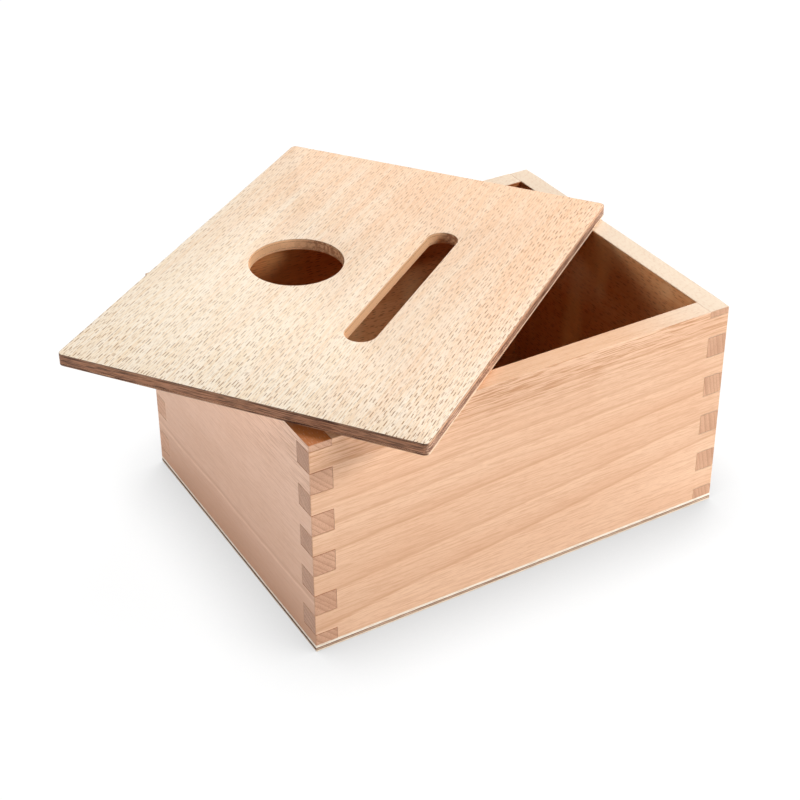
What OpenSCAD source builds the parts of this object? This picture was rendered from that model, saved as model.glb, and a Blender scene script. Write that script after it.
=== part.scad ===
// Object permanence box: a finger-jointed beech box on a plywood base, with a
// loose plywood lid that has a round hole for a ball and a slot for a coin.
// The lid lies askew on the rim, as it is put down after it has been lifted.
// The origin is under the middle of the base, with the front board at -Y.

/* [Box] */
// Outer width of the box, along the front board
box_w = 203; // [140:1:320]
// Outer depth of the box, along the side boards
box_d = 155; // [120:1:240]
// Height of the four boards, without the base
board_h = 98.5; // [60:0.5:150]
// Thickness of the four boards
board_t = 10; // [7:0.5:16]

/* [Finger joints] */
// Height of one finger
finger_w = 10; // [6:0.5:16]
// Height of the cut-off finger that the side boards have at the rim
rim_finger_w = 3; // [1:0.5:5.5]
// Glue clearance round each finger
finger_gap = 0.05; // [0.02:0.01:0.2]

/* [Base] */
// Thickness of the plywood base
base_t = 3.2; // [2:0.1:8]

/* [Lid] */
// How far the lid reaches past each end of the box when it lies straight
lid_end_overhang = 5; // [1:0.5:12]
// How far the lid reaches past the front and the back when it lies straight
lid_side_overhang = 4; // [1:0.5:12]
// Thickness of the plywood lid
lid_t = 5.5; // [3:0.5:12]
// Radius of the lid's corners
lid_corner_r = 2.5; // [0.5:0.5:10]
// Angle of the resting lid's long side to the front board
lid_turn = 36; // [0:1:90]
// How far the resting lid's middle lies to the right of the box's middle
lid_shift_x = -28; // [-45:1:45]
// How far the resting lid's middle lies behind the box's middle
lid_shift_y = 22; // [-35:1:35]

/* [Lid openings] */
// Diameter of the round hole that the ball drops through
hole_d = 42; // [25:0.5:60]
// Distance from the lid's middle line to the middle of the round hole
hole_offset = 26.5; // [22:0.5:32]
// Width of the slot that the coin drops through
slot_w = 14; // [6:0.5:20]
// Length of the slot from end to end
slot_l = 101; // [50:1:120]
// Distance from the lid's middle line to the middle of the slot
slot_offset = 25; // [20:0.5:35]
// Width of the bevel round the hole and the slot, on both faces of the lid
rim_ease = 0.4; // [0.2:0.1:1]

/* [Hidden] */
$fn = 96;

// How far a cut runs past the face that it opens
overrun = 1;

// Height of the rim above the surface that the box stands on
box_h = base_t + board_h;
lid_l = box_w + 2 * lid_end_overhang;
lid_w = box_d + 2 * lid_side_overhang;

// The joint is a stack of rows, counted down from the rim: row 0 is the
// cut-off finger. Side boards own the even rows, front and back the odd ones.
SIDE_ROWS = 0;
FRONT_ROWS = 1;
row_count = 1 + ceil((board_h - rim_finger_w) / finger_w);

// Depth below the rim at which a row starts, and at which the last one ends
function row_top(row) = row == 0 ? 0 : min(rim_finger_w + (row - 1) * finger_w, board_h);

// Half of the outline of a through cut with bevelled rims, out from its axis
function through_half(r, t) = [
    [0, -overrun],
    [r + rim_ease + overrun, -overrun],
    [r, rim_ease],
    [r, t - rim_ease],
    [r + rim_ease + overrun, t + overrun],
    [0, t + overrun]
];

// The same points on the other side of the axis, in turning order
function mirrored(points) = [for (i = [len(points) - 1:-1:0]) [-points[i].x, points[i].y]];

// Takes the rows that belong to the other board out of both ends of a board
module finger_notches(length, other_rows) {
    notch_l = board_t + finger_gap + overrun;
    for (end = [-1, 1]) {
        for (row = [other_rows:2:row_count - 1]) {
            above = row == 0 ? overrun : finger_gap;
            below = row == row_count - 1 ? overrun : finger_gap;
            height = row_top(row + 1) - row_top(row) + above + below;
            translate([
                end * (length / 2 + overrun - notch_l / 2),
                board_t / 2,
                board_h - row_top(row) + above - height / 2
            ])
                cube([notch_l, board_t + 2 * overrun, height], center = true);
        }
    }
}

// A board along X, standing on the base, with its outer face at -Y
module board(length, distance, other_rows) {
    translate([0, -distance / 2, base_t])
        difference() {
            translate([-length / 2, 0, 0])
                cube([length, board_t, board_h]);
            finger_notches(length, other_rows);
        }
}

// A round hole through a panel of thickness t
module round_cut(d, t) {
    rotate_extrude()
        polygon(through_half(d / 2, t));
}

// A slot along X with round ends, through a panel of thickness t
module slot_cut(length, width, t) {
    straight = length - width;
    half = through_half(width / 2, t);
    for (end = [-1, 1])
        translate([end * straight / 2, 0, 0])
            round_cut(width, t);
    rotate([90, 0, 90])
        translate([0, 0, -straight / 2])
            linear_extrude(straight)
                polygon(concat(half, mirrored(half)));
}

// A panel with rounded corners, centred, with its lower face at z = 0
module rounded_panel(length, width, t, r) {
    translate([-length / 2 + r, -width / 2, 0])
        cube([length - 2 * r, width, t]);
    translate([-length / 2, -width / 2 + r, 0])
        cube([length, width - 2 * r, t]);
    for (x = [-1, 1])
        for (y = [-1, 1])
            translate([x * (length / 2 - r), y * (width / 2 - r), 0])
                cylinder(h = t, r = r);
}

module base_panel() {
    color([0.86, 0.76, 0.65])
        translate([-box_w / 2, -box_d / 2, 0])
            cube([box_w, box_d, base_t]);
}

module front_board() {
    color([0.93, 0.74, 0.60])
        board(box_w, box_d, SIDE_ROWS);
}

module back_board() {
    color([0.93, 0.74, 0.60])
        rotate(180)
            board(box_w, box_d, SIDE_ROWS);
}

module left_board() {
    color([0.84, 0.66, 0.54])
        rotate(-90)
            board(box_d, box_w, FRONT_ROWS);
}

module right_board() {
    color([0.84, 0.66, 0.54])
        rotate(90)
            board(box_d, box_w, FRONT_ROWS);
}

module lid_panel() {
    color([0.95, 0.83, 0.70])
        translate([lid_shift_x, lid_shift_y, box_h])
            rotate(lid_turn)
                difference() {
                    rounded_panel(lid_l, lid_w, lid_t, lid_corner_r);
                    translate([0, hole_offset, 0])
                        round_cut(hole_d, lid_t);
                    translate([0, -slot_offset, 0])
                        slot_cut(slot_l, slot_w, lid_t);
                }
}

base_panel();
front_board();
back_board();
left_board();
right_board();
lid_panel();
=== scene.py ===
"""Looks of an object permanence box: finger-jointed beech, a plywood base and a loose plywood lid.

Sizes are in millimetres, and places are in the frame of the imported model: the origin lies
under the middle of the base, with the front board at -Y.
"""

import logging
import math
from dataclasses import dataclass, replace
from enum import Enum
from itertools import accumulate

import bmesh
import bpy
from mathutils import Color, Matrix, Vector


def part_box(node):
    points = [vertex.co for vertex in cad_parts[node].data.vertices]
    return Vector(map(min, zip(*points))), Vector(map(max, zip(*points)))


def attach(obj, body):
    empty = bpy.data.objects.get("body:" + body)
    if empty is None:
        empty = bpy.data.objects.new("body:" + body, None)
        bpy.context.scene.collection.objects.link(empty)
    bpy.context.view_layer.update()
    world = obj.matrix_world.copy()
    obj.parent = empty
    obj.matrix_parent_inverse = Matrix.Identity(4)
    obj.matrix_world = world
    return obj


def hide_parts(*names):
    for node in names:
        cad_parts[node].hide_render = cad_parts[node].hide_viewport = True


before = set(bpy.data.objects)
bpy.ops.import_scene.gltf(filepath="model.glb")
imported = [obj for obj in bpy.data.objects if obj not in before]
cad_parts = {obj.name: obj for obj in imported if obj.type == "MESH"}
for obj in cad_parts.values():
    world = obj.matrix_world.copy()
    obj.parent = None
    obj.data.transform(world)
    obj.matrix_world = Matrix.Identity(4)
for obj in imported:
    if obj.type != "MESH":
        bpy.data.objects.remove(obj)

MM = 0.001

Pair = tuple[float, float]
Triple = tuple[float, float, float]
Colour = tuple[float, float, float, float]
Piece = bpy.types.Object
Material = bpy.types.Material
Tree = bpy.types.NodeTree
Socket = bpy.types.NodeSocket
Feed = Socket | float | Triple | Colour | None

log = logging.getLogger("permanence_box")


def cad_corners(node: str) -> list[Triple]:
    """Gives the lowest and the highest corner of a CAD node, to a thousandth of a millimetre."""
    return [tuple(round(number / MM, 3) for number in corner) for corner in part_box(node)]


BASE_LOW, BASE_HIGH = cad_corners("base_panel")
BOX_WIDTH = BASE_HIGH[0] - BASE_LOW[0]
BOX_DEPTH = BASE_HIGH[1] - BASE_LOW[1]
FRONT_LOW, FRONT_HIGH = cad_corners("front_board")
BOARD_THICKNESS = FRONT_HIGH[1] - FRONT_LOW[1]
LID_LOW, LID_HIGH = cad_corners("lid_panel")
LID_CENTRE = ((LID_LOW[0] + LID_HIGH[0]) / 2, (LID_LOW[1] + LID_HIGH[1]) / 2)
LID_TURN = 36.0


def paint(red: float, green: float, blue: float) -> Colour:
    """Turns a colour from 0 to 255, as seen on a screen, into the linear one that shaders take."""
    linear = Color((red / 255, green / 255, blue / 255)).from_srgb_to_scene_linear()
    return (linear.r, linear.g, linear.b, 1.0)


def direction(azimuth: float, elevation: float) -> Vector:
    """Gives the unit vector at an azimuth (0 in front, 90 at the right) and a height, in degrees."""
    turn, rise = math.radians(azimuth), math.radians(elevation)
    return Vector((math.sin(turn) * math.cos(rise), -math.cos(turn) * math.cos(rise), math.sin(rise)))


class Body(Enum):
    """The two bodies that the pieces ride on."""

    BOX = "box"
    LID = "lid"


class Rows(Enum):
    """Which rows of the finger joint are cut out of a board's ends, from the rim down."""

    EVEN = 0
    ODD = 1


# Nodes


class Wiring:
    """Adds nodes to a tree and joins them up."""

    def __init__(self, tree: Tree) -> None:
        """Starts with an empty tree."""
        self.tree = tree
        tree.nodes.clear()

    def feed(self, socket: Socket, value: Feed) -> None:
        """Joins an input up or sets its value.

        Args:
            socket: The input.
            value: Another socket, a value, or None to leave the input alone.
        """
        if isinstance(value, Socket):
            self.tree.links.new(value, socket)
        elif value is not None:
            socket.default_value = value

    def add(self, kind: str, *values: Feed, **settings: str | int) -> bpy.types.Node:
        """Adds a node.

        Args:
            kind: Its type.
            values: What its inputs are joined or set to, in their order.
            settings: Its properties.

        Returns:
            The node.
        """
        node = self.tree.nodes.new(kind)
        for name, setting in settings.items():
            setattr(node, name, setting)
        for socket, value in zip(node.inputs, values):
            self.feed(socket, value)
        return node

    def math(self, operation: str, *values: Feed) -> Socket:
        """Adds a Math node and gives its result."""
        return self.add("ShaderNodeMath", *values, operation=operation).outputs[0]

    def times(self, first: Feed, second: Feed) -> Socket:
        """Multiplies two numbers."""
        return self.math("MULTIPLY", first, second)

    def join(self, x: Feed, y: Feed, z: Feed) -> Socket:
        """Joins three numbers to a vector, with 0 for None."""
        return self.add("ShaderNodeCombineXYZ", x, y, z).outputs[0]


@dataclass(frozen=True)
class Pattern:
    """A random pattern in the wood.

    One wave or cell takes length along the grain and width across it, in millimetres. shift is
    added to the seed, so that no two patterns are alike. A noise counts from the first number
    of counts and fully from the second. A spot reaches that share of a cell from its middle.
    """

    length: float
    width: float
    shift: float = 0.0
    detail: float = 2.0
    roughness: float = 0.5
    counts: Pair = (0.35, 0.65)
    reach: float = 0.0

    def scale(self) -> Triple:
        """Gives what turns one of its cells into a cube of size 1."""
        return (1 / self.length, 1 / self.width, 1 / self.width)


class Bench(Wiring):
    """Lays out the shader nodes of one material.

    In the methods, place is a place in millimetres with the grain along X.
    """

    spot_sizes: Pair = (0.65, 1.2)
    spot_core: float = 0.6
    spot_scatter: float = 0.8
    row_wander: float = 9.0
    dash_middle: Pair = (0.35, 0.65)
    dash_edge: Pair = (0.07, 0.22)
    arris_cosine: Pair = (0.8, 0.97)
    bump_strength: float = 0.6
    specular: float = 0.22
    shift_ratio: Triple = (1.0, 0.7, 1.3)
    sanded: tuple[float, float, float, float] = (0.3, 0.7, 0.5, 0.66)

    def __init__(self, name: str, seed: float) -> None:
        """Starts an empty material.

        Args:
            name: Its name.
            seed: Added to the shift of each of its patterns.
        """
        self.seed = seed
        self.material = bpy.data.materials.new(name)
        self.material.use_nodes = True
        super().__init__(self.material.node_tree)
        self.coordinates = self.add("ShaderNodeTexCoord").outputs

    def plus_times(self, start: Feed, value: Feed, slope: Feed) -> Socket:
        """Gives start + value * slope."""
        return self.math("MULTIPLY_ADD", value, slope, start)

    def dot(self, first: Feed, second: Feed) -> Socket:
        """Gives the dot product of two vectors."""
        return self.add("ShaderNodeVectorMath", first, second, operation="DOT_PRODUCT").outputs["Value"]

    def split(self, vector: Socket) -> tuple[Socket, ...]:
        """Takes a vector apart into its three numbers."""
        return tuple(self.add("ShaderNodeSeparateXYZ", vector).outputs)

    def span(self, value: Feed, low: Feed, high: Feed, start: Feed = 0.0, end: Feed = 1.0) -> Socket:
        """Maps a number smoothly from low..high to start..end, without leaving them."""
        values = (value, low, high, start, end)
        return self.add("ShaderNodeMapRange", *values, interpolation_type="SMOOTHSTEP").outputs[0]

    def blend(self, share: Feed, first: Feed, second: Feed, mode: str = "MIX") -> Socket:
        """Mixes a share of the second colour into the first one."""
        colours = (*[None] * 5, first, second)
        return self.add("ShaderNodeMix", share, *colours, data_type="RGBA", blend_type=mode).outputs[2]

    def coats(self, base: Feed, *coats: tuple[Socket, float, Feed], mode: str = "MIX") -> Socket:
        """Lays coats over a colour.

        Args:
            base: The colour.
            coats: For each coat where it lies, from 0 to 1, its greatest share and its colour.
            mode: Blend mode.

        Returns:
            The colour under all its coats.
        """
        for where, most, colour in coats:
            share = where if most == 1.0 else self.times(where, most)
            base = self.blend(share, base, colour, mode)
        return base

    def noise(self, place: Socket, detail: float = 2.0, roughness: float = 0.5) -> Socket:
        """Adds a noise of scale 1 with some finer layers, which is about 0.5 on average."""
        return self.add("ShaderNodeTexNoise", place, None, 1.0, detail, roughness).outputs[0]

    def stretch(self, place: Socket, pattern: Pattern) -> Socket:
        """Turns one cell of a pattern into a cube of size 1, and shifts the pattern."""
        shift = [(self.seed + pattern.shift) * ratio for ratio in self.shift_ratio]
        return self.add("ShaderNodeMapping", place, shift, None, pattern.scale()).outputs[0]

    def waves(self, place: Socket, pattern: Pattern) -> Socket:
        """Adds a noise that is stretched as its pattern says."""
        return self.noise(self.stretch(place, pattern), pattern.detail, pattern.roughness)

    def drawn(self, place: Socket, pattern: Pattern, start: float = 0.0, end: float = 1.0) -> Socket:
        """Adds a noise and maps the part that counts to start..end."""
        return self.span(self.waves(place, pattern), *pattern.counts, start, end)

    def spot(self, distance: Socket, chance: Socket, reach: float) -> Socket:
        """Draws a spot from its middle outwards, of a random size round its reach."""
        size = self.span(chance, 0.0, 1.0, *(reach * ratio for ratio in self.spot_sizes))
        return self.span(distance, self.times(size, self.spot_core), size, 1.0, 0.0)

    def dashes(self, place: Socket, pattern: Pattern, flat: bool = False) -> Socket:
        """Scatters one lens-shaped spot in each cell.

        Args:
            place: Place in the wood.
            pattern: Size of a cell, and reach of a spot in it.
            flat: Whether the spots go straight through the thickness.

        Returns:
            1 on the strongest spots, 0 between them.
        """
        cells = self.add("ShaderNodeTexVoronoi", voronoi_dimensions="2D" if flat else "3D")
        self.feed(cells.inputs["Vector"], self.stretch(place, pattern))
        cells.inputs["Scale"].default_value = 1.0
        cells.inputs["Randomness"].default_value = self.spot_scatter
        chance, strength, _ = self.split(cells.outputs["Color"])
        spot = self.spot(cells.outputs["Distance"], chance, pattern.reach)
        return self.times(spot, self.span(strength, 0.0, 0.6, 0.3, 1.0))

    def chances(self, x: Feed, y: Feed) -> tuple[Socket, ...]:
        """Draws three random numbers for each place on a plane."""
        noise = self.add("ShaderNodeTexWhiteNoise", self.join(x, y, 0.0), noise_dimensions="2D")
        return self.split(noise.outputs["Color"])

    def stitches(self, place: Socket, pattern: Pattern) -> Socket:
        """Scatters thin dashes in rows along the grain, each row shifted by a length of its own.

        Args:
            place: Place in the wood.
            pattern: Size of the cell that holds one dash, and half of its length in the cell.

        Returns:
            1 on the strongest dashes, 0 between them.
        """
        x, y, _ = self.split(place)
        seed = self.seed + pattern.shift
        across = self.plus_times(seed, y, 1 / pattern.width)
        row = self.math("FLOOR", across)
        wander, _, _ = self.chances(row, seed + 0.5)
        along = self.plus_times(self.times(wander, self.row_wander), x, 1 / pattern.length)
        chance, stray, strength = self.chances(self.math("FLOOR", along), row)
        first, last = self.dash_middle
        middle = self.plus_times(first, stray, last - first)
        off = self.math("ABSOLUTE", self.math("SUBTRACT", self.math("FRACT", along), middle))
        long = self.spot(off, chance, pattern.reach)
        aside = self.math("ABSOLUTE", self.math("SUBTRACT", self.math("FRACT", across), 0.5))
        thin = self.times(long, self.span(aside, *self.dash_edge, 1.0, 0.0))
        return self.times(thin, self.span(strength, 0.0, 0.7, 0.25, 1.0))

    def rings(self, value: Socket, marks: tuple[Triple, ...]) -> Socket:
        """Draws growth rings: each darkens slowly, then sharply at its mark, and starts pale again.

        Args:
            value: A number from 0 to 1.
            marks: For each ring its place, how far it fades in, and its strength.

        Returns:
            The strength of the rings.
        """
        ramp = self.add("ShaderNodeValToRGB", value)
        stops = ramp.color_ramp.elements
        stops[1].color = (0, 0, 0, 1)
        for place, fade, strength in marks:
            for offset, part in ((-fade, 0.45), (0.0, 1.0), (fade * 0.6, 0.0)):
                shade = part * strength
                stops.new(place + offset).color = (shade, shade, shade, 1)
        return ramp.outputs[0]

    def grain_place(self, turn: float, shift: Triple) -> Socket:
        """Gives the place in millimetres, turned by -turn degrees and then shifted."""
        values = (self.coordinates["Object"], shift, (0.0, 0.0, math.radians(-turn)), (1 / MM,) * 3)
        return self.add("ShaderNodeMapping", *values).outputs[0]

    def facing(self, axis: Triple, low: float = 0.55, high: float = 0.85) -> Socket:
        """Gives 1 on faces that look along an axis, either way, and 0 below the cosine low."""
        cosine = self.dot(self.coordinates["Normal"], axis)
        return self.span(self.math("ABSOLUTE", cosine), low, high)

    def arris(self, turn: float) -> Socket:
        """Tells which faces are eased edges, looking along none of the piece's three axes.

        Args:
            turn: Angle of the piece to +X, in degrees.

        Returns:
            1 on the middle of an eased edge, 0 on flat faces.
        """
        values = (self.coordinates["Normal"], None, None, math.radians(-turn))
        turned = self.add("ShaderNodeVectorRotate", *values, rotation_type="Z_AXIS")
        size = self.add("ShaderNodeVectorMath", turned.outputs[0], operation="ABSOLUTE")
        x, y, z = self.split(size.outputs[0])
        most = self.math("MAXIMUM", x, self.math("MAXIMUM", y, z))
        return self.span(most, *self.arris_cosine, 1.0, 0.0)

    def finish(self, colour: Socket, relief: Socket, depth: float, rough: Feed) -> Material:
        """Ends the material in a Principled shader.

        Args:
            colour: Colour of the surface.
            relief: Height of the grain, from 0 to 1.
            depth: Height of a relief of 1 in millimetres.
            rough: Roughness.

        Returns:
            The material.
        """
        bump = self.add("ShaderNodeBump", self.bump_strength, depth * MM, None, relief)
        values = (colour, None, rough, None, None, bump.outputs[0])
        shader = self.add("ShaderNodeBsdfPrincipled", *values)
        shader.inputs["Specular IOR Level"].default_value = self.specular
        self.add("ShaderNodeOutputMaterial", shader.outputs[0])
        return self.material


# Finishes


def grain_axis(turn: float) -> Triple:
    """Gives the unit vector along a grain that is turned from +X by so many degrees."""
    return (math.cos(math.radians(turn)), math.sin(math.radians(turn)), 0.0)


@dataclass(frozen=True)
class SolidBeech:
    """Sanded solid beech: growth rings run through the board, so face and end grain agree.

    The rings follow a field that grows from the rim downwards, fans out along the board and
    leans through its thickness. marks are the rings that stand out on the face, as shares of
    ring_span. inner_shade tints the inside face darker and deeper in colour, a painted shade of
    the closed box, and inner_low_shade tints its part from low_from under the top. The top faces
    go from rim_start_painted_light to rim over rim_light_span and take rim_light_share of that
    tone: paler than the face, partly sanded wood and partly a painted sheen, and darker where it
    stands for a painted shade of the lid.
    """

    name: str
    marks: tuple[Triple, ...]
    face: Colour = paint(245, 206, 175)
    face_shade: Colour = paint(240, 198, 166)
    ring: Colour = paint(206, 152, 114)
    fleck: Colour = paint(214, 164, 130)
    end: Colour = paint(220, 176, 148)
    end_ring: Colour = paint(168, 116, 88)
    # rim and rim_start_painted_light: top-face tones, paler than the face, partly sanded wood and partly
    # a painted sheen
    rim: Colour = paint(243, 229, 206)
    rim_start_painted_light: Colour = paint(243, 229, 206)
    rim_light_span: Pair = (0.2, 0.52)
    rim_light_share: float = 0.72
    # inner_shade and inner_low_shade multiply the inside face: painted shade of the closed box, darker
    # and deeper in colour
    inner_shade: Colour = (0.95, 0.7, 0.42, 1.0)
    inner_low_shade: Colour | None = None
    inner_fleck: Colour = (0.22, 0.09, 0.04, 1.0)
    figure_tint: Colour = (1.0, 0.95, 0.8, 1.0)
    inner_from: float = BOARD_THICKNESS - 0.3
    low_from: Pair = (26.0, 34.0)
    across: float = 1.0
    lean_rim: float = 0.0
    lean_foot: float = 0.0
    fan: float = 0.0
    wave: float = 2.0
    ring_width: float = 2.2
    ring_drift: float = 0.37
    ring_uneven: float = 2.6
    ring_span: float = 140.0
    late_share: float = 0.08
    thread_share: float = 0.34
    threads_and_shade_until: Pair = (0.02, 0.2)
    fleck_share: float = 0.3
    dart_share: float = 0.55
    pore_share: float = 0.4
    arris_share: float = 0.35
    relief: float = 0.05
    bends: Pattern = Pattern(62, 34, 3.1, 1.0, 0.4)
    ripples: Pattern = Pattern(15, 24, 8.4, 1.0)
    clouds: Pattern = Pattern(70, 22, counts=(0.35, 0.68))
    end_clouds: Pair = (0.35, 0.65)
    fibres: Pattern = Pattern(5.5, 0.45, 0.0, 3.0, 0.65, counts=(0.45, 0.75))
    threads: Pattern = Pattern(14, 0.5, 5.0, 2.0, 0.65, counts=(0.47, 0.62))
    figure: Pattern = Pattern(26, 60, 1.7, 1.0, counts=(0.5, 0.72))
    flecks: Pattern = Pattern(4.4, 0.9, reach=0.33)
    pores: Pattern = Pattern(9.0, 0.5, 2.0, reach=0.42)
    darts: Pattern = Pattern(5.5, 1.1, 9.0, reach=0.27)
    specks: Pattern = Pattern(3.6, 1.0, reach=0.22)
    seed: float = 0.0

    def ring_field(self, bench: Bench, place: Socket, size: Pair) -> Socket:
        """Gives the growth field that is the same all along one ring.

        Args:
            bench: Adds the nodes.
            place: Place in the board, with x along it, y into it and z up from its foot.
            size: Length and height of the board.

        Returns:
            The field in millimetres.
        """
        length, height = size
        x, y, z = bench.split(place)
        depth = bench.math("SUBTRACT", height, z)
        along = bench.plus_times(0.5, x, 1 / length)
        fan = bench.plus_times(1.0, along, -self.fan)
        grown = bench.times(bench.math("DIVIDE", depth, fan), self.across)
        lean = bench.plus_times(self.lean_rim, depth, (self.lean_foot - self.lean_rim) / height)
        grown = bench.plus_times(grown, y, lean)
        for pattern, height_of_wave in ((self.bends, self.wave * 2), (self.ripples, self.wave * 0.4)):
            wave = bench.math("SUBTRACT", bench.waves(place, pattern), 0.5)
            grown = bench.plus_times(grown, wave, height_of_wave)
        return grown

    def make(self, turn: float, shift: Triple, size: Pair) -> Material:
        """Makes the material for one board.

        Args:
            turn: Angle of the board to +X, in degrees.
            shift: What brings the turned place to the board's own frame.
            size: Length and height of the board.

        Returns:
            The material.
        """
        length, height = size
        bench = Bench(self.name, self.seed)
        place = bench.grain_place(turn, shift)
        x, into, up = bench.split(place)
        grown = self.ring_field(bench, place, size)
        share = bench.math("DIVIDE", grown, self.ring_span)
        number = bench.times(grown, 1 / self.ring_width)
        uneven = bench.noise(bench.join(bench.times(number, self.ring_drift), self.seed, 0.0))
        phase = bench.plus_times(number, uneven, self.ring_uneven)
        late = bench.math("POWER", bench.math("FRACT", phase), 3.0)
        cloud = bench.waves(place, self.clouds)
        fibre = bench.waves(place, self.fibres)
        fleck = bench.dashes(place, self.flecks)
        # Grain threads are up to three times as strong near the top of each board: partly coarser grain,
        # partly painted shade under the lid's overhang
        coarse_threads_and_shade = bench.span(share, *self.threads_and_shade_until, self.thread_share * 3, self.thread_share)
        shade = bench.coats(
            self.face,
            (bench.span(cloud, *self.clouds.counts), 1.0, self.face_shade),
            (bench.rings(share, self.marks), 1.0, self.ring),
            (late, self.late_share, self.ring),
            (bench.drawn(place, self.threads), coarse_threads_and_shade, self.ring),
            (bench.span(fibre, *self.fibres.counts, 0.0, 0.5), 1.0, self.fleck),
            (fleck, self.fleck_share, self.fleck),
        )
        cut = bench.coats(
            self.end,
            (bench.span(cloud, *self.end_clouds), 1.0, bench.blend(0.2, self.end, self.end_ring)),
            (late, 0.5, self.end_ring),
            (bench.dashes(place, self.pores), self.pore_share, self.end_ring),
        )

        upright = bench.join(x, up, into)
        inside = bench.coats(
            shade,
            (bench.dashes(upright, self.darts, flat=True), self.dart_share, self.inner_fleck),
            (bench.drawn(upright, self.figure, 0.0, 0.5), 1.0, self.figure_tint),
        )
        # The inside face is multiplied by painted shade: inner_shade near the top, inner_low_shade from
        # low_from down
        upper, lower = self.low_from
        below = bench.span(up, height - lower, height - upper, 1.0, 0.0)
        inner_shade_tint = bench.blend(below, self.inner_shade, self.inner_low_shade or self.inner_shade)
        inside = bench.blend(1.0, inside, inner_shade_tint, "MULTIPLY")

        # Top faces get the rim tones: painted sheen with sanded wood, painted lid shade at some ends, and
        # fine specks
        near, far = self.rim_light_span
        rim = bench.coats(
            self.rim_start_painted_light,
            (bench.span(x, length * near, length * far), 1.0, self.rim),
            (bench.stitches(place, self.specks), 0.5, self.ring),
        )
        colour = bench.coats(
            shade,
            (bench.span(into, self.inner_from, self.inner_from + 0.2), 1.0, inside),
            (bench.facing((0.0, 0.0, 1.0)), 1.0, bench.blend(self.rim_light_share, shade, rim)),
            (bench.facing(grain_axis(turn)), 1.0, cut),
            (bench.arris(turn), self.arris_share, self.ring),
        )
        relief = bench.plus_times(bench.times(fibre, -1.0), fleck, -0.7)
        return bench.finish(colour, relief, self.relief, bench.span(fibre, *bench.sanded))


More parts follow.
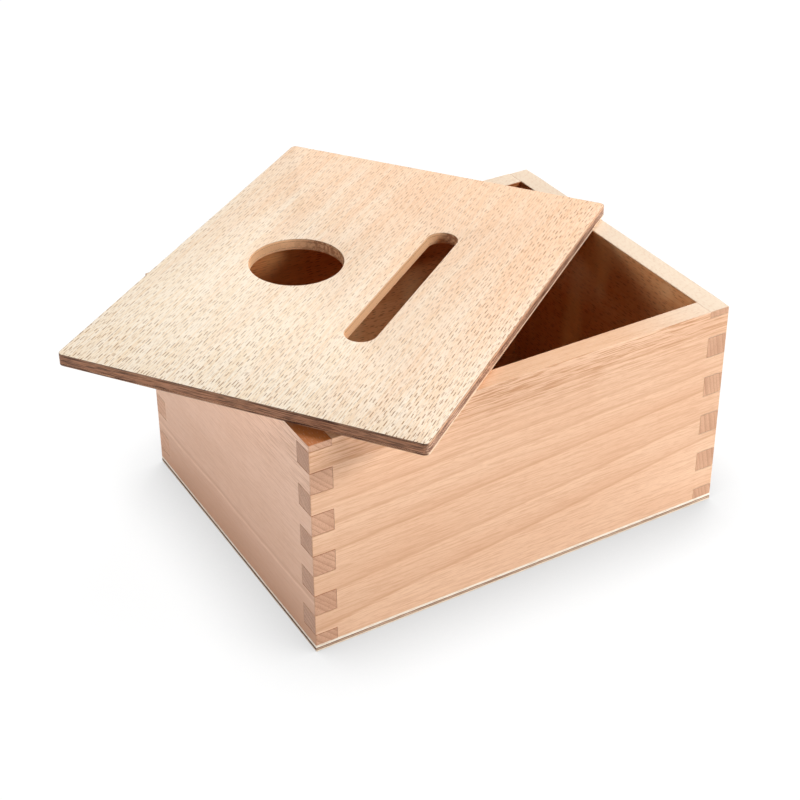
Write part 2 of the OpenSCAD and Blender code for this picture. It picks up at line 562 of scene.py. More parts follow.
@dataclass(frozen=True)
class SheetVeneer:
    """Rotary-cut beech veneer on a plywood sheet: pale, with short dark rays along the grain.

    bold says how strong the rays are everywhere, and how much more at the sheet's low-x end
    and at its low-y side, where they fade over end_fade and side_fade. warm_slope turns pale
    into warm along x and y. bore is the wall of the openings, side the edge along the grain.
    """

    name: str
    pale: Colour
    warm: Colour
    ray: Colour
    end: Colour
    end_ray: Colour
    side: Colour | None = None
    bore: Colour | None = None
    # painted_wall_shade: painted shade, in blots, on opening walls that face away from the key lamp
    painted_wall_shade: Colour = (0.24, 0.09, 0.036, 1.0)
    streak: Colour = (0.9, 0.76, 0.58, 1.0)
    flat: bool = True
    bold: Triple = (0.7, 0.0, 0.0)
    end_fade: Pair = (-105.0, -35.0)
    side_fade: Pair = (-80.0, -45.0)
    warm_slope: Pair = (0.0, 0.0)
    warm_middle: float = 0.45
    band_share: float = 0.8
    streak_share: float = 0.55
    fine_share: float = 0.14
    pore_share: float = 0.7
    arris_share: float = 0.0
    relief: float = 0.06
    layering: Pair = (12.0, 0.28)
    wall_from: Pair = (60.0, 70.0)
    edge_facing: Pair = (0.3, 0.8)
    rays: Pattern = Pattern(7.0, 1.25, reach=0.19)
    fibres: Pattern = Pattern(9.0, 0.42, 0.0, 3.0, 0.6, counts=(0.5, 0.72))
    streaks: Pattern = Pattern(20, 0.6, 12.0, 2.0, 0.6, counts=(0.44, 0.6))
    sways: Pattern = Pattern(70, 30, 4.0, 1.0)
    patches: Pattern = Pattern(55, 30, 2.2, counts=(0.3, 0.62))
    bands: Pattern = Pattern(150, 9, 6.0, 2.0, 0.55)
    pores: Pattern = Pattern(6.0, 0.7, 2.0, reach=0.42)
    wall_shade_blots: Pattern = Pattern(1.6, 1.6, counts=(0.4, 0.6))
    seed: float = 0.0

    def small_rays(self) -> Pattern:
        """Gives the pattern of the small rays, which are shorter and thinner on a flat ply."""
        long, wide = (0.7, 0.8) if self.flat else (1.0, 1.0)
        return replace(self.rays, length=self.rays.length * long, width=self.rays.width * wide, shift=7.3)

    def make(self, turn: float, centre: Pair) -> Material:
        """Makes the material for one ply.

        Args:
            turn: Angle of the ply's grain to +X, in degrees.
            centre: Middle of the sheet.

        Returns:
            The material.
        """
        bench = Bench(self.name, self.seed)
        back = Matrix.Rotation(math.radians(-turn), 2) @ Vector(centre)
        place = bench.grain_place(turn, (-back.x, -back.y, 0.0))
        x, y, height = bench.split(place)
        aside = bench.plus_times(height, bench.waves(place, self.sways), 3.0)
        moved = bench.add("ShaderNodeVectorMath", place, bench.join(0.0, aside, 0.0), operation="ADD")
        swayed = moved.outputs[0]
        scatter = bench.stitches if self.flat else bench.dashes
        dark, small = (scatter(swayed, pattern) for pattern in (self.rays, self.small_rays()))
        fibre = bench.waves(swayed, self.fibres)
        band = bench.math("SUBTRACT", bench.waves(swayed, self.bands), 0.5)

        everywhere, at_end, at_side = self.bold
        bold = bench.math("ADD", everywhere, bench.span(x, *self.end_fade, at_end, 0.0))
        bold = bench.math("ADD", bold, bench.span(y, *self.side_fade, at_side, 0.0))
        bold = bench.math("MINIMUM", bold, 1.0)
        warmth = self.warm_middle
        for value, slope in ((x, self.warm_slope[0]), (y, self.warm_slope[1]), (band, self.band_share)):
            warmth = bench.plus_times(warmth, value, slope)
        lined = bench.times(bench.drawn(swayed, self.streaks), bench.span(bold, 0.0, 1.0, 0.6, 1.0))
        fine = bench.times(bench.span(fibre, *self.fibres.counts), bold)
        shade = bench.coats(
            bench.blend(bench.span(warmth, 0.0, 1.0), self.pale, self.warm),
            (lined, self.streak_share, self.streak),
            (fine, self.fine_share, self.ray),
            (dark, bench.times(bench.drawn(place, self.patches, 0.8, 1.0), bold), self.ray),
            (bench.times(small, bold), 0.5, self.ray),
            mode="MULTIPLY",
        )

        pore = bench.dashes(place, self.pores)
        long, thin = self.layering
        ply_place = bench.join(x, bench.math("DIVIDE", y, long), bench.math("DIVIDE", height, thin))
        layered = bench.span(bench.noise(ply_place, 3.0, 0.6), 0.38, 0.62)
        cut = bench.coats(self.end, (layered, 1.0, self.end_ray), (pore, self.pore_share, self.end_ray))
        if self.side:
            speckled = bench.coats(self.side, (pore, 0.7, self.end_ray))
            shade = bench.blend(bench.facing(grain_axis(turn + 90), *self.edge_facing), shade, speckled)
        colour = bench.coats(
            shade,
            (bench.facing(grain_axis(turn), *self.edge_facing), 1.0, cut),
            (bench.arris(turn), self.arris_share, self.end_ray),
        )
        if self.bore:
            colour = self.bored(bench, place, fibre, colour)
        relief = bench.plus_times(bench.times(fibre, -0.8), dark, -1.0)
        return bench.finish(colour, relief, self.relief, bench.span(fibre, *bench.sanded))

    def bored(self, bench: Bench, place: Socket, fibre: Socket, colour: Socket) -> Socket:
        """Gives the walls of the openings their own tone, and painted shade in blots on walls facing -X.

        Args:
            bench: Adds the nodes.
            place: Place on the sheet, from its middle.
            fibre: Fine lines along the grain.
            colour: Colour of everything else.

        Returns:
            The colour with the walls.
        """
        x, y, _ = bench.split(place)
        furthest = bench.math("MAXIMUM", bench.math("ABSOLUTE", x), bench.math("ABSOLUTE", y))
        outer = bench.span(furthest, *self.wall_from)
        flat = bench.facing((0.0, 0.0, 1.0), 0.4, 0.8)
        wall = bench.math("SUBTRACT", 1.0, bench.math("MAXIMUM", outer, flat))
        tone = bench.blend(bench.span(fibre, 0.45, 0.7, 0.0, 0.15), self.bore, self.end_ray)
        # Walls that face -X, away from the key lamp, get painted shade in blots.
        side = bench.span(bench.dot(bench.coordinates["Normal"], (-1.0, 0.1, 0.0)), 0.1, 0.8)
        wall_shade = bench.times(side, bench.drawn(place, self.wall_shade_blots, 0.55, 0.9))
        return bench.blend(wall, colour, bench.blend(wall_shade, tone, self.painted_wall_shade))


@dataclass(frozen=True)
class GlueLine:
    """The thin dark line of glue between two plies, blotched where it was squeezed."""

    name: str
    light: Colour
    dark: Colour
    blotches: Pattern = Pattern(2.2, 2.2)
    relief: float = 0.03
    rough: float = 0.6

    def make(self) -> Material:
        """Makes the material.

        Returns:
            The material.
        """
        bench = Bench(self.name, 0.0)
        blotch = bench.waves(bench.grain_place(0.0, (0.0, 0.0, 0.0)), self.blotches)
        colour = bench.blend(bench.span(blotch, *self.blotches.counts), self.light, self.dark)
        return bench.finish(colour, blotch, self.relief, self.rough)


# Meshes


def new_piece(name: str, bm: bmesh.types.BMesh, place: Matrix) -> Piece:
    """Makes an object at the origin from a bmesh, with its place in its mesh.

    Args:
        name: Name of the piece.
        bm: The mesh in metres, in the piece's own frame. It is freed.
        place: Where the piece goes.

    Returns:
        The object, linked to the scene.
    """
    bmesh.ops.recalc_face_normals(bm, faces=bm.faces)
    bm.transform(place)
    mesh = bpy.data.meshes.new(name)
    bm.to_mesh(mesh)
    bm.free()
    piece = bpy.data.objects.new(name, mesh)
    bpy.context.scene.collection.objects.link(piece)
    return piece


@dataclass(frozen=True)
class Outline:
    """A rectangle with round corners. One whose corners meet is a slot or a circle."""

    x: float
    y: float
    length: float
    width: float
    radius: float
    steps: int = 32
    smallest: float = 1e-6

    def ring(self, grow: float) -> list[Pair]:
        """Gives the points round the outline.

        Args:
            grow: How far it is moved outwards.

        Returns:
            Its points, counter-clockwise, without doubles.
        """
        radius = self.radius + grow
        reach_x = self.length / 2 - self.radius
        reach_y = self.width / 2 - self.radius
        points: list[Pair] = []
        for quarter, (side_x, side_y) in enumerate(((1, 1), (-1, 1), (-1, -1), (1, -1))):
            for step in range(self.steps + 1):
                angle = math.radians(90 * (quarter + step / self.steps))
                x = self.x + side_x * reach_x + radius * math.cos(angle)
                y = self.y + side_y * reach_y + radius * math.sin(angle)
                if not points or math.dist(points[-1], (x, y)) > self.smallest:
                    points.append((x, y))
        if math.dist(points[0], points[-1]) < self.smallest:
            points.pop()
        return points


@dataclass(frozen=True)
class Layer:
    """One layer of a plywood sheet, as a plate with round-cornered openings."""

    outline: Outline
    openings: tuple[Outline, ...]
    bottom: float
    top: float
    ease_bottom: float = 0.0
    ease_top: float = 0.0
    recess: float = 0.0
    ease_steps: int = 4
    sharp_angle: float = 28.0

    def profile(self) -> list[Pair]:
        """Gives the section of its edge from the bottom up.

        Returns:
            How far each point stands back, and its height.
        """
        points = []
        for ease, end, side in ((self.ease_bottom, self.bottom, 1), (self.ease_top, self.top, -1)):
            steps = range(self.ease_steps + 1 if ease else 1)
            arc = [math.radians(90 * step / self.ease_steps) for step in steps]
            corner = [(ease * (1 - math.sin(a)), end + side * ease * (1 - math.cos(a))) for a in arc]
            points += corner[::side]
        return [(back + self.recess, height) for back, height in points]

    def build(self, name: str, place: Matrix) -> Piece:
        """Builds the layer.

        Args:
            name: Name of the piece.
            place: Where the sheet goes, in metres.

        Returns:
            The piece.
        """
        bm = bmesh.new()
        for outline, side in [(self.outline, -1)] + [(opening, 1) for opening in self.openings]:
            rings = []
            for back, height in self.profile():
                points = outline.ring(side * back)
                rings.append([bm.verts.new((x * MM, y * MM, height * MM)) for x, y in points])
            for lower, upper in zip(rings, rings[1:]):
                for i in range(len(lower)):
                    j = (i + 1) % len(lower)
                    bm.faces.new((lower[i], lower[j], upper[j], upper[i]))
        for wall in bm.faces:
            wall.smooth = True
        loose = [edge for edge in bm.edges if len(edge.link_faces) == 1]
        middle = (self.bottom + self.top) / 2 * MM
        for at_bottom in (True, False):
            rim = [edge for edge in loose if (edge.verts[0].co.z < middle) == at_bottom]
            bmesh.ops.triangle_fill(bm, use_beauty=True, edges=rim)
        piece = new_piece(name, bm, place)
        piece.data.set_sharp_from_angle(angle=math.radians(self.sharp_angle))
        return piece


def comb_tree() -> tuple[Tree, dict[str, str]]:
    """Builds the node tree that cuts the fingers at both ends of a board.

    Returns:
        The tree, and the identifier of each of its inputs by name.
    """
    tree = bpy.data.node_groups.new("finger_comb", "GeometryNodeTree")
    tree.interface.new_socket("Geometry", in_out="OUTPUT", socket_type="NodeSocketGeometry")
    lengths = ("Half length", "Thickness", "First notch", "Pitch", "Notch depth", "Notch height")
    kinds = {"Board": "Geometry"} | dict.fromkeys(lengths, "Float")
    kinds |= {"Notches": "Int", "Finish": "Material"}
    inputs = {
        name: tree.interface.new_socket(name, in_out="INPUT", socket_type=f"NodeSocket{kind}").identifier
        for name, kind in kinds.items()
    }

    wiring = Wiring(tree)
    source = wiring.add("NodeGroupInput").outputs
    through = wiring.times(source["Thickness"], 1.4)
    notch_x = wiring.times(source["Notch depth"], 2.0)
    block = wiring.add("GeometryNodeMeshCube", wiring.join(notch_x, through, source["Notch height"]))
    ends = wiring.add("GeometryNodeJoinGeometry")
    for side in (-1.0, 1.0):
        end = wiring.times(source["Half length"], side)
        start = wiring.join(end, wiring.times(source["Thickness"], 0.5), source["First notch"])
        down = wiring.join(None, None, wiring.times(source["Pitch"], -1.0))
        row = wiring.add("GeometryNodeMeshLine", source["Notches"], None, start, down)
        wiring.feed(ends.inputs[0], row.outputs[0])
    comb = wiring.add("GeometryNodeInstanceOnPoints", ends.outputs[0], None, block.outputs["Mesh"])
    blocks = wiring.add("GeometryNodeRealizeInstances", comb.outputs[0])
    cut = wiring.add("GeometryNodeMeshBoolean", operation="DIFFERENCE", solver="EXACT")
    wiring.feed(cut.inputs["Mesh 1"], source["Board"])
    wiring.feed(cut.inputs["Mesh 2"], blocks.outputs[0])
    plain = wiring.add("GeometryNodeRealizeInstances", cut.outputs["Mesh"])
    dressed = wiring.add("GeometryNodeSetMaterial", plain.outputs[0], None, source["Finish"])
    wiring.add("NodeGroupOutput", dressed.outputs[0])
    return tree, inputs


# Sub-assemblies


@dataclass(frozen=True)
class FingerBoard:
    """One of the four boards, with the fingers of its two corner joints."""

    node: str
    slot: str
    length: float
    distance: float
    turn: float
    cut_rows: Rows
    finish: SolidBeech
    foot: float = FRONT_LOW[2]
    height: float = FRONT_HIGH[2] - FRONT_LOW[2]
    thickness: float = BOARD_THICKNESS
    finger: float = 10.0
    rim_finger: float = 3.0
    gap: float = 0.12
    ease: float = 0.5

    def slab(self) -> Piece:
        """Builds the board before its joints are cut, with its outer arrises eased.

        Returns:
            The slab, in the board's own frame: outer face at y = 0, foot at z = 0.
        """
        bm = bmesh.new()
        half = self.length / 2
        stations = (-half, self.thickness - half, half - self.thickness, half)
        section = ((0, 0), (self.thickness, 0), (self.thickness, self.height), (0, self.height))
        loops = [[bm.verts.new((x * MM, y * MM, z * MM)) for y, z in section] for x in stations]
        bm.faces.new(loops[0])
        bm.faces.new(loops[-1])
        for near, far in zip(loops, loops[1:]):
            for i in range(4):
                j = (i + 1) % 4
                bm.faces.new((near[i], near[j], far[j], far[i]))
        corners = [(loops[1][2], loops[2][2])]
        corners += [(end[3], end[i]) for end in (loops[0], loops[-1]) for i in (0, 2)]
        corners += [(near[3], far[3]) for near, far in zip(loops, loops[1:])]
        eased = [bm.edges.get(pair) for pair in corners]
        rounding = {"offset": self.ease * MM, "offset_type": "OFFSET", "segments": 3, "profile": 0.5}
        bmesh.ops.bevel(bm, geom=eased, affect="EDGES", **rounding)
        bmesh.ops.dissolve_degenerate(bm, dist=1e-7, edges=bm.edges)
        return new_piece(f"{self.node}_beech", bm, Matrix.Identity(4))

    def comb_inputs(self) -> dict[str, float | int]:
        """Works out what the finger comb takes.

        Returns:
            Its inputs by name, with lengths in metres.
        """
        row = self.cut_rows.value
        rows = 1 + math.ceil((self.height - self.rim_finger) / self.finger)
        sizes = {
            "Half length": self.length / 2,
            "Thickness": self.thickness,
            "First notch": self.height - self.rim_finger + self.finger * (0.5 - row),
            "Pitch": 2 * self.finger,
            "Notch depth": self.thickness + self.gap,
            "Notch height": self.finger + 2 * self.gap,
        }
        return {name: size * MM for name, size in sizes.items()} | {"Notches": (rows + 1 - row) // 2}

    def build(self, tree: Tree, inputs: dict[str, str]) -> Piece:
        """Builds the board with its fingers and puts it in its place.

        Args:
            tree: The finger comb.
            inputs: Identifiers of its inputs.

        Returns:
            The piece.
        """
        piece = self.slab()
        shift = (0.0, self.distance / 2, -self.foot)
        comb = piece.modifiers.new("finger_comb", "NODES")
        comb.node_group = tree
        for name, value in self.comb_inputs().items():
            comb[inputs[name]] = value
        comb[inputs["Finish"]] = self.finish.make(self.turn, shift, (self.length, self.height))
        graph = bpy.context.evaluated_depsgraph_get()
        graph.update()
        mesh = bpy.data.meshes.new_from_object(piece.evaluated_get(graph))
        piece.modifiers.clear()
        piece.data = mesh
        mesh.name = piece.name
        outwards = Matrix.Translation((0, -self.distance / 2 * MM, self.foot * MM))
        mesh.transform(Matrix.Rotation(math.radians(self.turn), 4, "Z") @ outwards)
        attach(piece, Body.BOX.value)
        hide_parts(self.node)
        return piece


@dataclass(frozen=True)
class PlySheet:
    """A plywood sheet of three plies with a glue line between each two."""

    name: str
    body: Body
    outline: Outline
    bottom: float
    top: float
    back_ply: float
    face_ply: float
    glue: float
    ease: float
    face_finish: SheetVeneer
    core_finish: SheetVeneer
    back_finish: SheetVeneer
    glue_finish: GlueLine
    glue_recess: float = 0.06
    openings: tuple[Outline, ...] = ()
    turn: float = 0.0
    centre: Pair = (0.0, 0.0)

    def layers(self) -> dict[str, tuple[Layer, Material]]:
        """Lists the layers from the bottom up.

        Returns:
            Each layer and its material by name.
        """
        core = self.top - self.bottom - self.back_ply - self.face_ply - 2 * self.glue
        heights = (self.back_ply, self.glue, core, self.glue, self.face_ply)
        marks = list(accumulate(heights, initial=self.bottom))
        glue = self.glue_finish.make()

        def layer(index: int, **edge: float) -> Layer:
            """Makes the layer between two marks."""
            return Layer(self.outline, self.openings, marks[index], marks[index + 1], **edge)

        return {
            "back_ply": (layer(0, ease_bottom=self.ease), self.back_finish.make(self.turn, self.centre)),
            "glue_lower": (layer(1, recess=self.glue_recess), glue),
            "core_ply": (layer(2), self.core_finish.make(self.turn + 90, self.centre)),
            "glue_upper": (layer(3, recess=self.glue_recess), glue),
            "face_ply": (layer(4, ease_top=self.ease), self.face_finish.make(self.turn, self.centre)),
        }

    def build(self) -> list[Piece]:
        """Builds the sheet in its place.

        Returns:
            Its pieces, from the bottom up.
        """
        x, y = self.centre
        upright_turn = Matrix.Rotation(math.radians(self.turn), 4, "Z")
        place = Matrix.Translation((x * MM, y * MM, 0)) @ upright_turn
        pieces = []
        for name, (layer, material) in self.layers().items():
            piece = layer.build(f"{self.name}_{name}", place)
            piece.data.materials.append(material)
            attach(piece, self.body.value)
            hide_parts(f"{self.name}_panel")
            pieces.append(piece)
        return pieces


@dataclass(frozen=True)
class JointedBox:
    """The four boards and the base that they stand on."""

    boards: tuple[FingerBoard, ...]
    base: PlySheet

    def build(self) -> list[Piece]:
        """Builds the base and the boards, and lists their pieces."""
        tree, inputs = comb_tree()
        return self.base.build() + [board.build(tree, inputs) for board in self.boards]


# Finishes of the pieces

LID_BORE = paint(255, 206, 160)

FRONT_FINISH = SolidBeech(
    name="front_beech",
    marks=(
        (0.057, 0.012, 0.34), (0.089, 0.01, 0.64), (0.114, 0.008, 0.34), (0.145, 0.008, 0.34),
        (0.175, 0.01, 0.34), (0.218, 0.011, 0.46), (0.288, 0.011, 0.5), (0.386, 0.011, 0.6),
        (0.536, 0.011, 0.55), (0.65, 0.011, 0.62),
    ),
    end=paint(202, 162, 138),
    end_ring=paint(144, 104, 84),
    # rim_start_painted_light makes the top face tan from its left end, paling to the right: painted shade
    # of the lid beside it
    rim_start_painted_light=paint(230, 180, 138),
    lean_rim=0.9,
    lean_foot=0.15,
    fan=0.28,
)
BACK_FINISH = SolidBeech(
    name="back_beech",
    marks=((0.12, 0.012, 0.3), (0.3, 0.014, 0.35), (0.42, 0.014, 0.3), (0.66, 0.014, 0.35)),
    # inner_shade darkens the top band of the inside face more than inner_low_shade darkens the rest:
    # painted shade of the lid inside the box
    inner_shade=(0.68, 0.4, 0.2, 1.0),
    inner_low_shade=(1.0, 0.84, 0.58, 1.0),
    lean_rim=0.5,
    lean_foot=-0.4,
    fan=-0.18,
    seed=67.0,
)
LEFT_FINISH = SolidBeech(
    name="left_beech",
    # The second mark, broad and strong, makes the lower part of the board darker towards its foot.
    marks=((0.388, 0.012, 0.6), (0.515, 0.115, 0.95)),
    face=paint(243, 206, 182),
    face_shade=paint(238, 200, 175),
    ring=paint(190, 142, 112),
    fleck=paint(216, 172, 144),
    # rim darkens the front end of the top face, at the corner beside the lid: a painted shadow of the lid
    rim=paint(175, 93, 10),
    rim_start_painted_light=paint(244, 214, 182),
    rim_light_span=(0.28, 0.42),
    rim_light_share=0.92,
    # inner_shade: painted shade on the inside face
    inner_shade=(0.7, 0.46, 0.25, 1.0),
    across=0.7,
    lean_rim=-0.7,
    lean_foot=-0.7,
    fan=0.03,
    thread_share=0.2,
    fleck_share=0.2,
    seed=21.0,
)
RIGHT_FINISH = SolidBeech(
    name="right_beech",
    marks=((0.1, 0.014, 0.3), (0.2, 0.014, 0.3)),
    # face and face_shade are darker than on the other boards: painted shade offsetting the key lamp on
    # this side
    face=paint(224, 183, 152),
    face_shade=paint(217, 174, 142),
    end=paint(218, 174, 144),
    end_ring=paint(172, 120, 92),
    # inner_shade: painted shade on the inside face, lighter than on the other boards
    inner_shade=(1.0, 0.84, 0.58, 1.0),
    across=0.2,
    lean_rim=1.0,
    lean_foot=0.9,
    seed=43.0,
)

BASE_INNER = SheetVeneer(
    name="base_inner_veneer",
    # pale and warm are deeper than the under veneer: painted shade of the closed box on the inside floor
    pale=paint(232, 190, 146),
    warm=paint(222, 174, 128),
    ray=(0.42, 0.28, 0.2, 1.0),
    end=paint(255, 248, 236),
    end_ray=paint(232, 208, 184),
    side=paint(255, 246, 232),
    seed=17.0,
)
BASE_CORE = SheetVeneer(
    name="base_core",
    pale=paint(96, 68, 52),
    warm=paint(80, 56, 42),
    ray=(0.35, 0.3, 0.3, 1.0),
    end=paint(226, 194, 170),
    end_ray=paint(180, 146, 122),
    flat=False,
    seed=13.0,
)
BASE_UNDER = SheetVeneer(
    name="base_veneer",
    pale=paint(250, 224, 198),
    warm=paint(243, 206, 174),
    ray=(0.57, 0.41, 0.31, 1.0),
    end=paint(255, 246, 232),
    end_ray=paint(226, 200, 176),
    side=paint(250, 234, 212),
    seed=11.0,
)
LID_FACE = SheetVeneer(
    name="lid_veneer",
    pale=paint(255, 242, 223),
    warm=paint(247, 208, 174),
    ray=(0.32, 0.18, 0.08, 1.0),
    end=paint(164, 120, 92),
    end_ray=paint(66, 38, 26),
    side=paint(216, 170, 138),
    bore=LID_BORE,
    bold=(0.52, 0.33, 0.32),
    warm_slope=(0.0034, -0.0030),
    fine_share=0.1,
    pore_share=0.3,
    arris_share=0.4,
    relief=0.012,
    rays=Pattern(7.4, 1.4, reach=0.28),
    fibres=Pattern(5.0, 0.55, 0.0, 3.0, 0.6, counts=(0.48, 0.66)),
)
LID_CORE = SheetVeneer(
    name="lid_core",
    pale=paint(184, 135, 106),
    warm=paint(142, 97, 73),
    ray=(0.03, 0.02, 0.02, 1.0),
    end=paint(214, 172, 146),
    end_ray=paint(96, 56, 36),
    bore=LID_BORE,
    flat=False,
    bold=(0.75, 0.0, 0.0),
    fine_share=0.9,
    pore_share=1.0,
    rays=Pattern(9.0, 0.8, reach=0.36),
    fibres=Pattern(9.0, 0.5, 0.0, 3.0, 0.6, counts=(0.46, 0.6)),
    seed=5.0,
)
LID_UNDER = SheetVeneer(
    name="lid_back_veneer",
    pale=paint(253, 231, 208),
    warm=paint(246, 211, 182),
    ray=(0.5, 0.35, 0.22, 1.0),
    end=paint(174, 130, 100),
    end_ray=paint(68, 40, 28),
    bore=LID_BORE,
    pore_share=0.3,
    relief=0.012,
    rays=Pattern(7.5, 1.2, reach=0.19),
    seed=31.0,
)


def make_box() -> JointedBox:
    """Describes the four boards, two and two alike, and the base.

    Returns:
        The box.
    """
    long = {"slot": "front_beech", "length": BOX_WIDTH, "distance": BOX_DEPTH, "cut_rows": Rows.EVEN}
    short = {"slot": "side_beech", "length": BOX_DEPTH, "distance": BOX_WIDTH, "cut_rows": Rows.ODD}
    boards = (
        FingerBoard("front_board", turn=0.0, finish=FRONT_FINISH, **long),
        FingerBoard("back_board", turn=180.0, finish=BACK_FINISH, **long),
        FingerBoard("left_board", turn=-90.0, finish=LEFT_FINISH, **short),
        FingerBoard("right_board", turn=90.0, finish=RIGHT_FINISH, **short),
    )
    base = PlySheet(
        name="base",
        body=Body.BOX,
        outline=Outline(0.0, 0.0, BOX_WIDTH, BOX_DEPTH, radius=0.3, steps=3),
        bottom=BASE_LOW[2],
        top=BASE_HIGH[2],
        back_ply=0.7,
        face_ply=1.25,
        glue=0.3,
        ease=0.1,
        face_finish=BASE_INNER,
        core_finish=BASE_CORE,
        back_finish=BASE_UNDER,
        glue_finish=GlueLine("base_glue", paint(116, 92, 78), paint(84, 60, 46)),
    )
    return JointedBox(boards, base)


def make_lid() -> PlySheet:
    """Describes the loose plywood lid with its hole for a ball and its slot for a coin.

    Returns:
        The lid.
    """
    hole = Outline(0.0, 26.5, 42.0, 42.0, radius=21.0)
    slot = Outline(0.0, -25.0, 101.0, 14.0, radius=7.0, steps=16)
    return PlySheet(
        name="lid",
        body=Body.LID,
        outline=Outline(0.0, 0.0, 213.0, 163.0, radius=2.5, steps=8),
        openings=(hole, slot),
        bottom=LID_LOW[2],
        top=LID_HIGH[2],
        back_ply=1.15,
        face_ply=1.15,
        glue=0.12,
        ease=0.4,
        turn=LID_TURN,
        centre=LID_CENTRE,
        face_finish=LID_FACE,
        core_finish=LID_CORE,
        back_finish=LID_UNDER,
        glue_finish=GlueLine("lid_glue", paint(176, 120, 80), paint(128, 82, 54)),
    )


# Studio


@dataclass(frozen=True)
class Viewpoint:
    """Where the photograph was taken from, fitted to the corners of box and lid.

    offset is how far the camera stands to the left of, below and away from the origin.
    """

    azimuth: float = -30.16
    elevation: float = 30.97
    roll: float = -0.37
    offset: Triple = (14.45, -73.87, 810.58)
    lens: float = 78.54
    shift_y: float = -0.1
    clip: Pair = (0.01, 50.0)

    def build(self) -> None:
        """Puts the camera there and makes it the scene's camera."""
        roll = math.radians(self.roll)
        back = direction(self.azimuth, self.elevation)
        level = (-back).cross(Vector((0, 0, 1))).normalized()
        upright = level.cross(-back)
        right = math.cos(roll) * level + math.sin(roll) * upright
        up = -math.sin(roll) * level + math.cos(roll) * upright
        x, y, z = self.offset
        place = (right * -x + up * -y + back * z) * MM
        data = bpy.data.cameras.new("camera")
        data.lens = self.lens
        data.shift_y = self.shift_y
        data.clip_start, data.clip_end = self.clip
        camera = bpy.data.objects.new("camera", data)
        camera.matrix_world = Matrix.Translation(place) @ Matrix((right, up, back)).transposed().to_4x4()
        bpy.context.scene.collection.objects.link(camera)
        bpy.context.scene.camera = camera


@dataclass(frozen=True)
class SoftBox:
    """A large soft lamp that looks at the object, with its distance and size in metres.

    share is how much of its full colour it alone gives a surface that faces it.
    """

    name: str
    azimuth: float
    elevation: float
    distance: float
    size: Pair
    share: float
    colour: Triple
    aim_height: float = 0.05

    def build(self) -> None:
        """Hangs the lamp up."""
        away = direction(self.azimuth, self.elevation)
        data = bpy.data.lights.new(self.name, "AREA")
        data.shape = "RECTANGLE"
        data.size, data.size_y = self.size
        data.energy = self.share * math.pi**2 * self.distance**2
        data.color = self.colour
        lamp = bpy.data.objects.new(self.name, data)
        lamp.location = away * self.distance + Vector((0, 0, self.aim_height))
        lamp.rotation_euler = away.to_track_quat("Z", "Y").to_euler()
        bpy.context.scene.collection.objects.link(lamp)


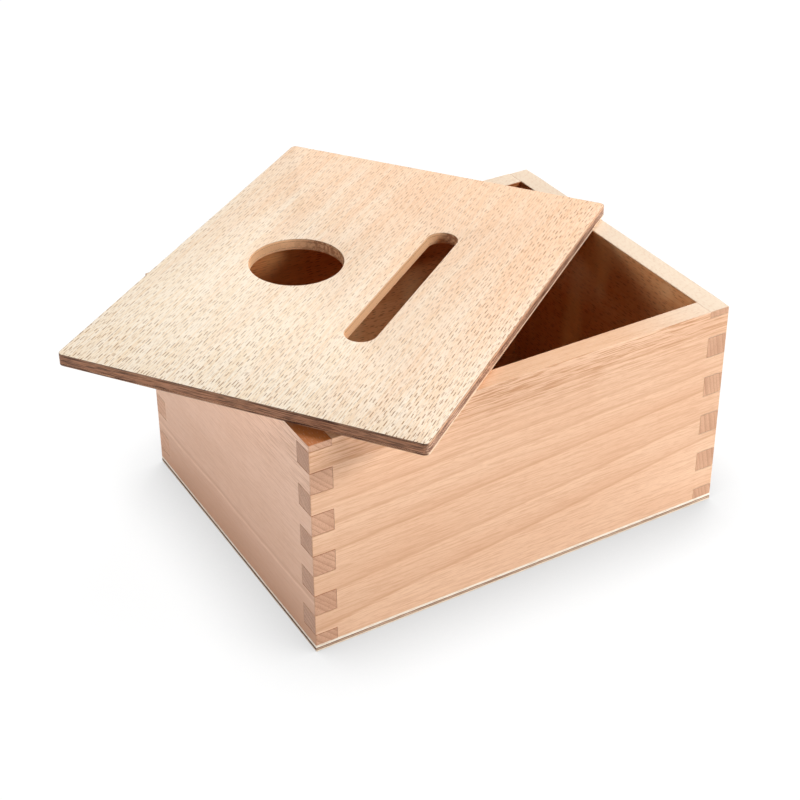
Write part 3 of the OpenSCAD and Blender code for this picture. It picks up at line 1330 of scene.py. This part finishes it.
@dataclass(frozen=True)
class Studio:
    """A plain white floor and surround with soft lamps, in metres.

    floor_glow is how bright the floor shows close to the object and away from it, and contact
    is how open the floor is at those two.
    """

    lamps: tuple[SoftBox, ...] = (
        SoftBox("key_lamp", 126.0, 40.0, 5.0, (2.3, 1.7), 1.02, (1.0, 0.985, 0.965)),
        SoftBox("front_lamp", 15.0, 2.0, 1.5, (1.1, 0.16), 0.205, (1.0, 0.98, 0.95)),
        SoftBox("upper_lamp", 46.0, 26.5, 2.0, (0.9, 0.5), 0.62, (1.0, 0.98, 0.95)),
        SoftBox("left_lamp", -82.0, 13.0, 1.8, (0.7, 0.4), 0.45, (0.97, 0.98, 1.0)),
    )
    ambient: float = 0.03
    floor_size: float = 14.0
    floor_drop: float = 0.0002
    floor_albedo: float = 0.85
    floor_shown: float = 0.06
    floor_glow: Pair = (0.6, 0.98)
    contact: Pair = (0.35, 0.97)
    contact_reach: float = 0.04

    def seen(self, wiring: Wiring) -> Socket:
        """Tells which rays show the background itself.

        Args:
            wiring: Adds the nodes.

        Returns:
            1 for camera, glossy and transmission rays, 0 for others.
        """
        path = wiring.add("ShaderNodeLightPath").outputs
        first = wiring.math("MAXIMUM", path["Is Camera Ray"], path["Is Glossy Ray"])
        return wiring.math("MAXIMUM", first, path["Is Transmission Ray"])

    def build_surround(self) -> None:
        """Makes the world: white where it is seen, and a low even light on the object."""
        world = bpy.data.worlds.new("surround")
        bpy.context.scene.world = world
        world.use_nodes = True
        wiring = Wiring(world.node_tree)
        strength = wiring.add("ShaderNodeMapRange", self.seen(wiring), 0.0, 1.0, self.ambient, 1.0)
        light = wiring.add("ShaderNodeBackground", (1, 1, 1, 1), strength.outputs[0])
        wiring.add("ShaderNodeOutputWorld", light.outputs[0])

    def build_floor(self) -> None:
        """Makes the floor, which shows white and keeps the object's soft shadow."""
        material = bpy.data.materials.new("white_floor")
        material.use_nodes = True
        wiring = Wiring(material.node_tree)
        plain, shown = (
            wiring.add("ShaderNodeBsdfDiffuse", (grey, grey, grey, 1)).outputs[0]
            for grey in (self.floor_albedo, self.floor_shown)
        )
        nearby = wiring.add("ShaderNodeAmbientOcclusion", None, self.contact_reach, samples=16)
        glow = wiring.add("ShaderNodeMapRange", nearby.outputs["AO"], *self.contact, *self.floor_glow)
        light = wiring.add("ShaderNodeEmission", None, glow.outputs[0])
        lit = wiring.add("ShaderNodeAddShader", shown, light.outputs[0])
        either = wiring.add("ShaderNodeMixShader", self.seen(wiring), plain, lit.outputs[0])
        wiring.add("ShaderNodeOutputMaterial", either.outputs[0])
        bm = bmesh.new()
        bmesh.ops.create_grid(bm, x_segments=1, y_segments=1, size=self.floor_size / 2)
        floor = new_piece("floor", bm, Matrix.Translation((0, 0, -self.floor_drop)))
        floor.data.materials.append(material)

    def build(self) -> None:
        """Sets up the floor, the surround, the lamps and the view settings."""
        bpy.context.scene.view_settings.view_transform = "Standard"
        self.build_surround()
        self.build_floor()
        for lamp in self.lamps:
            lamp.build()


def main() -> None:
    """Builds the camera, the studio, the box and the lid, and logs how many faces each piece has."""
    logging.basicConfig(level=logging.INFO, format="%(name)s: %(message)s")
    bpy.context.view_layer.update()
    Viewpoint().build()
    Studio().build()
    pieces = make_box().build() + make_lid().build()
    for piece in pieces:
        log.info("%s: %d faces", piece.name, len(piece.data.polygons))


if __name__ == "__main__":
    main()
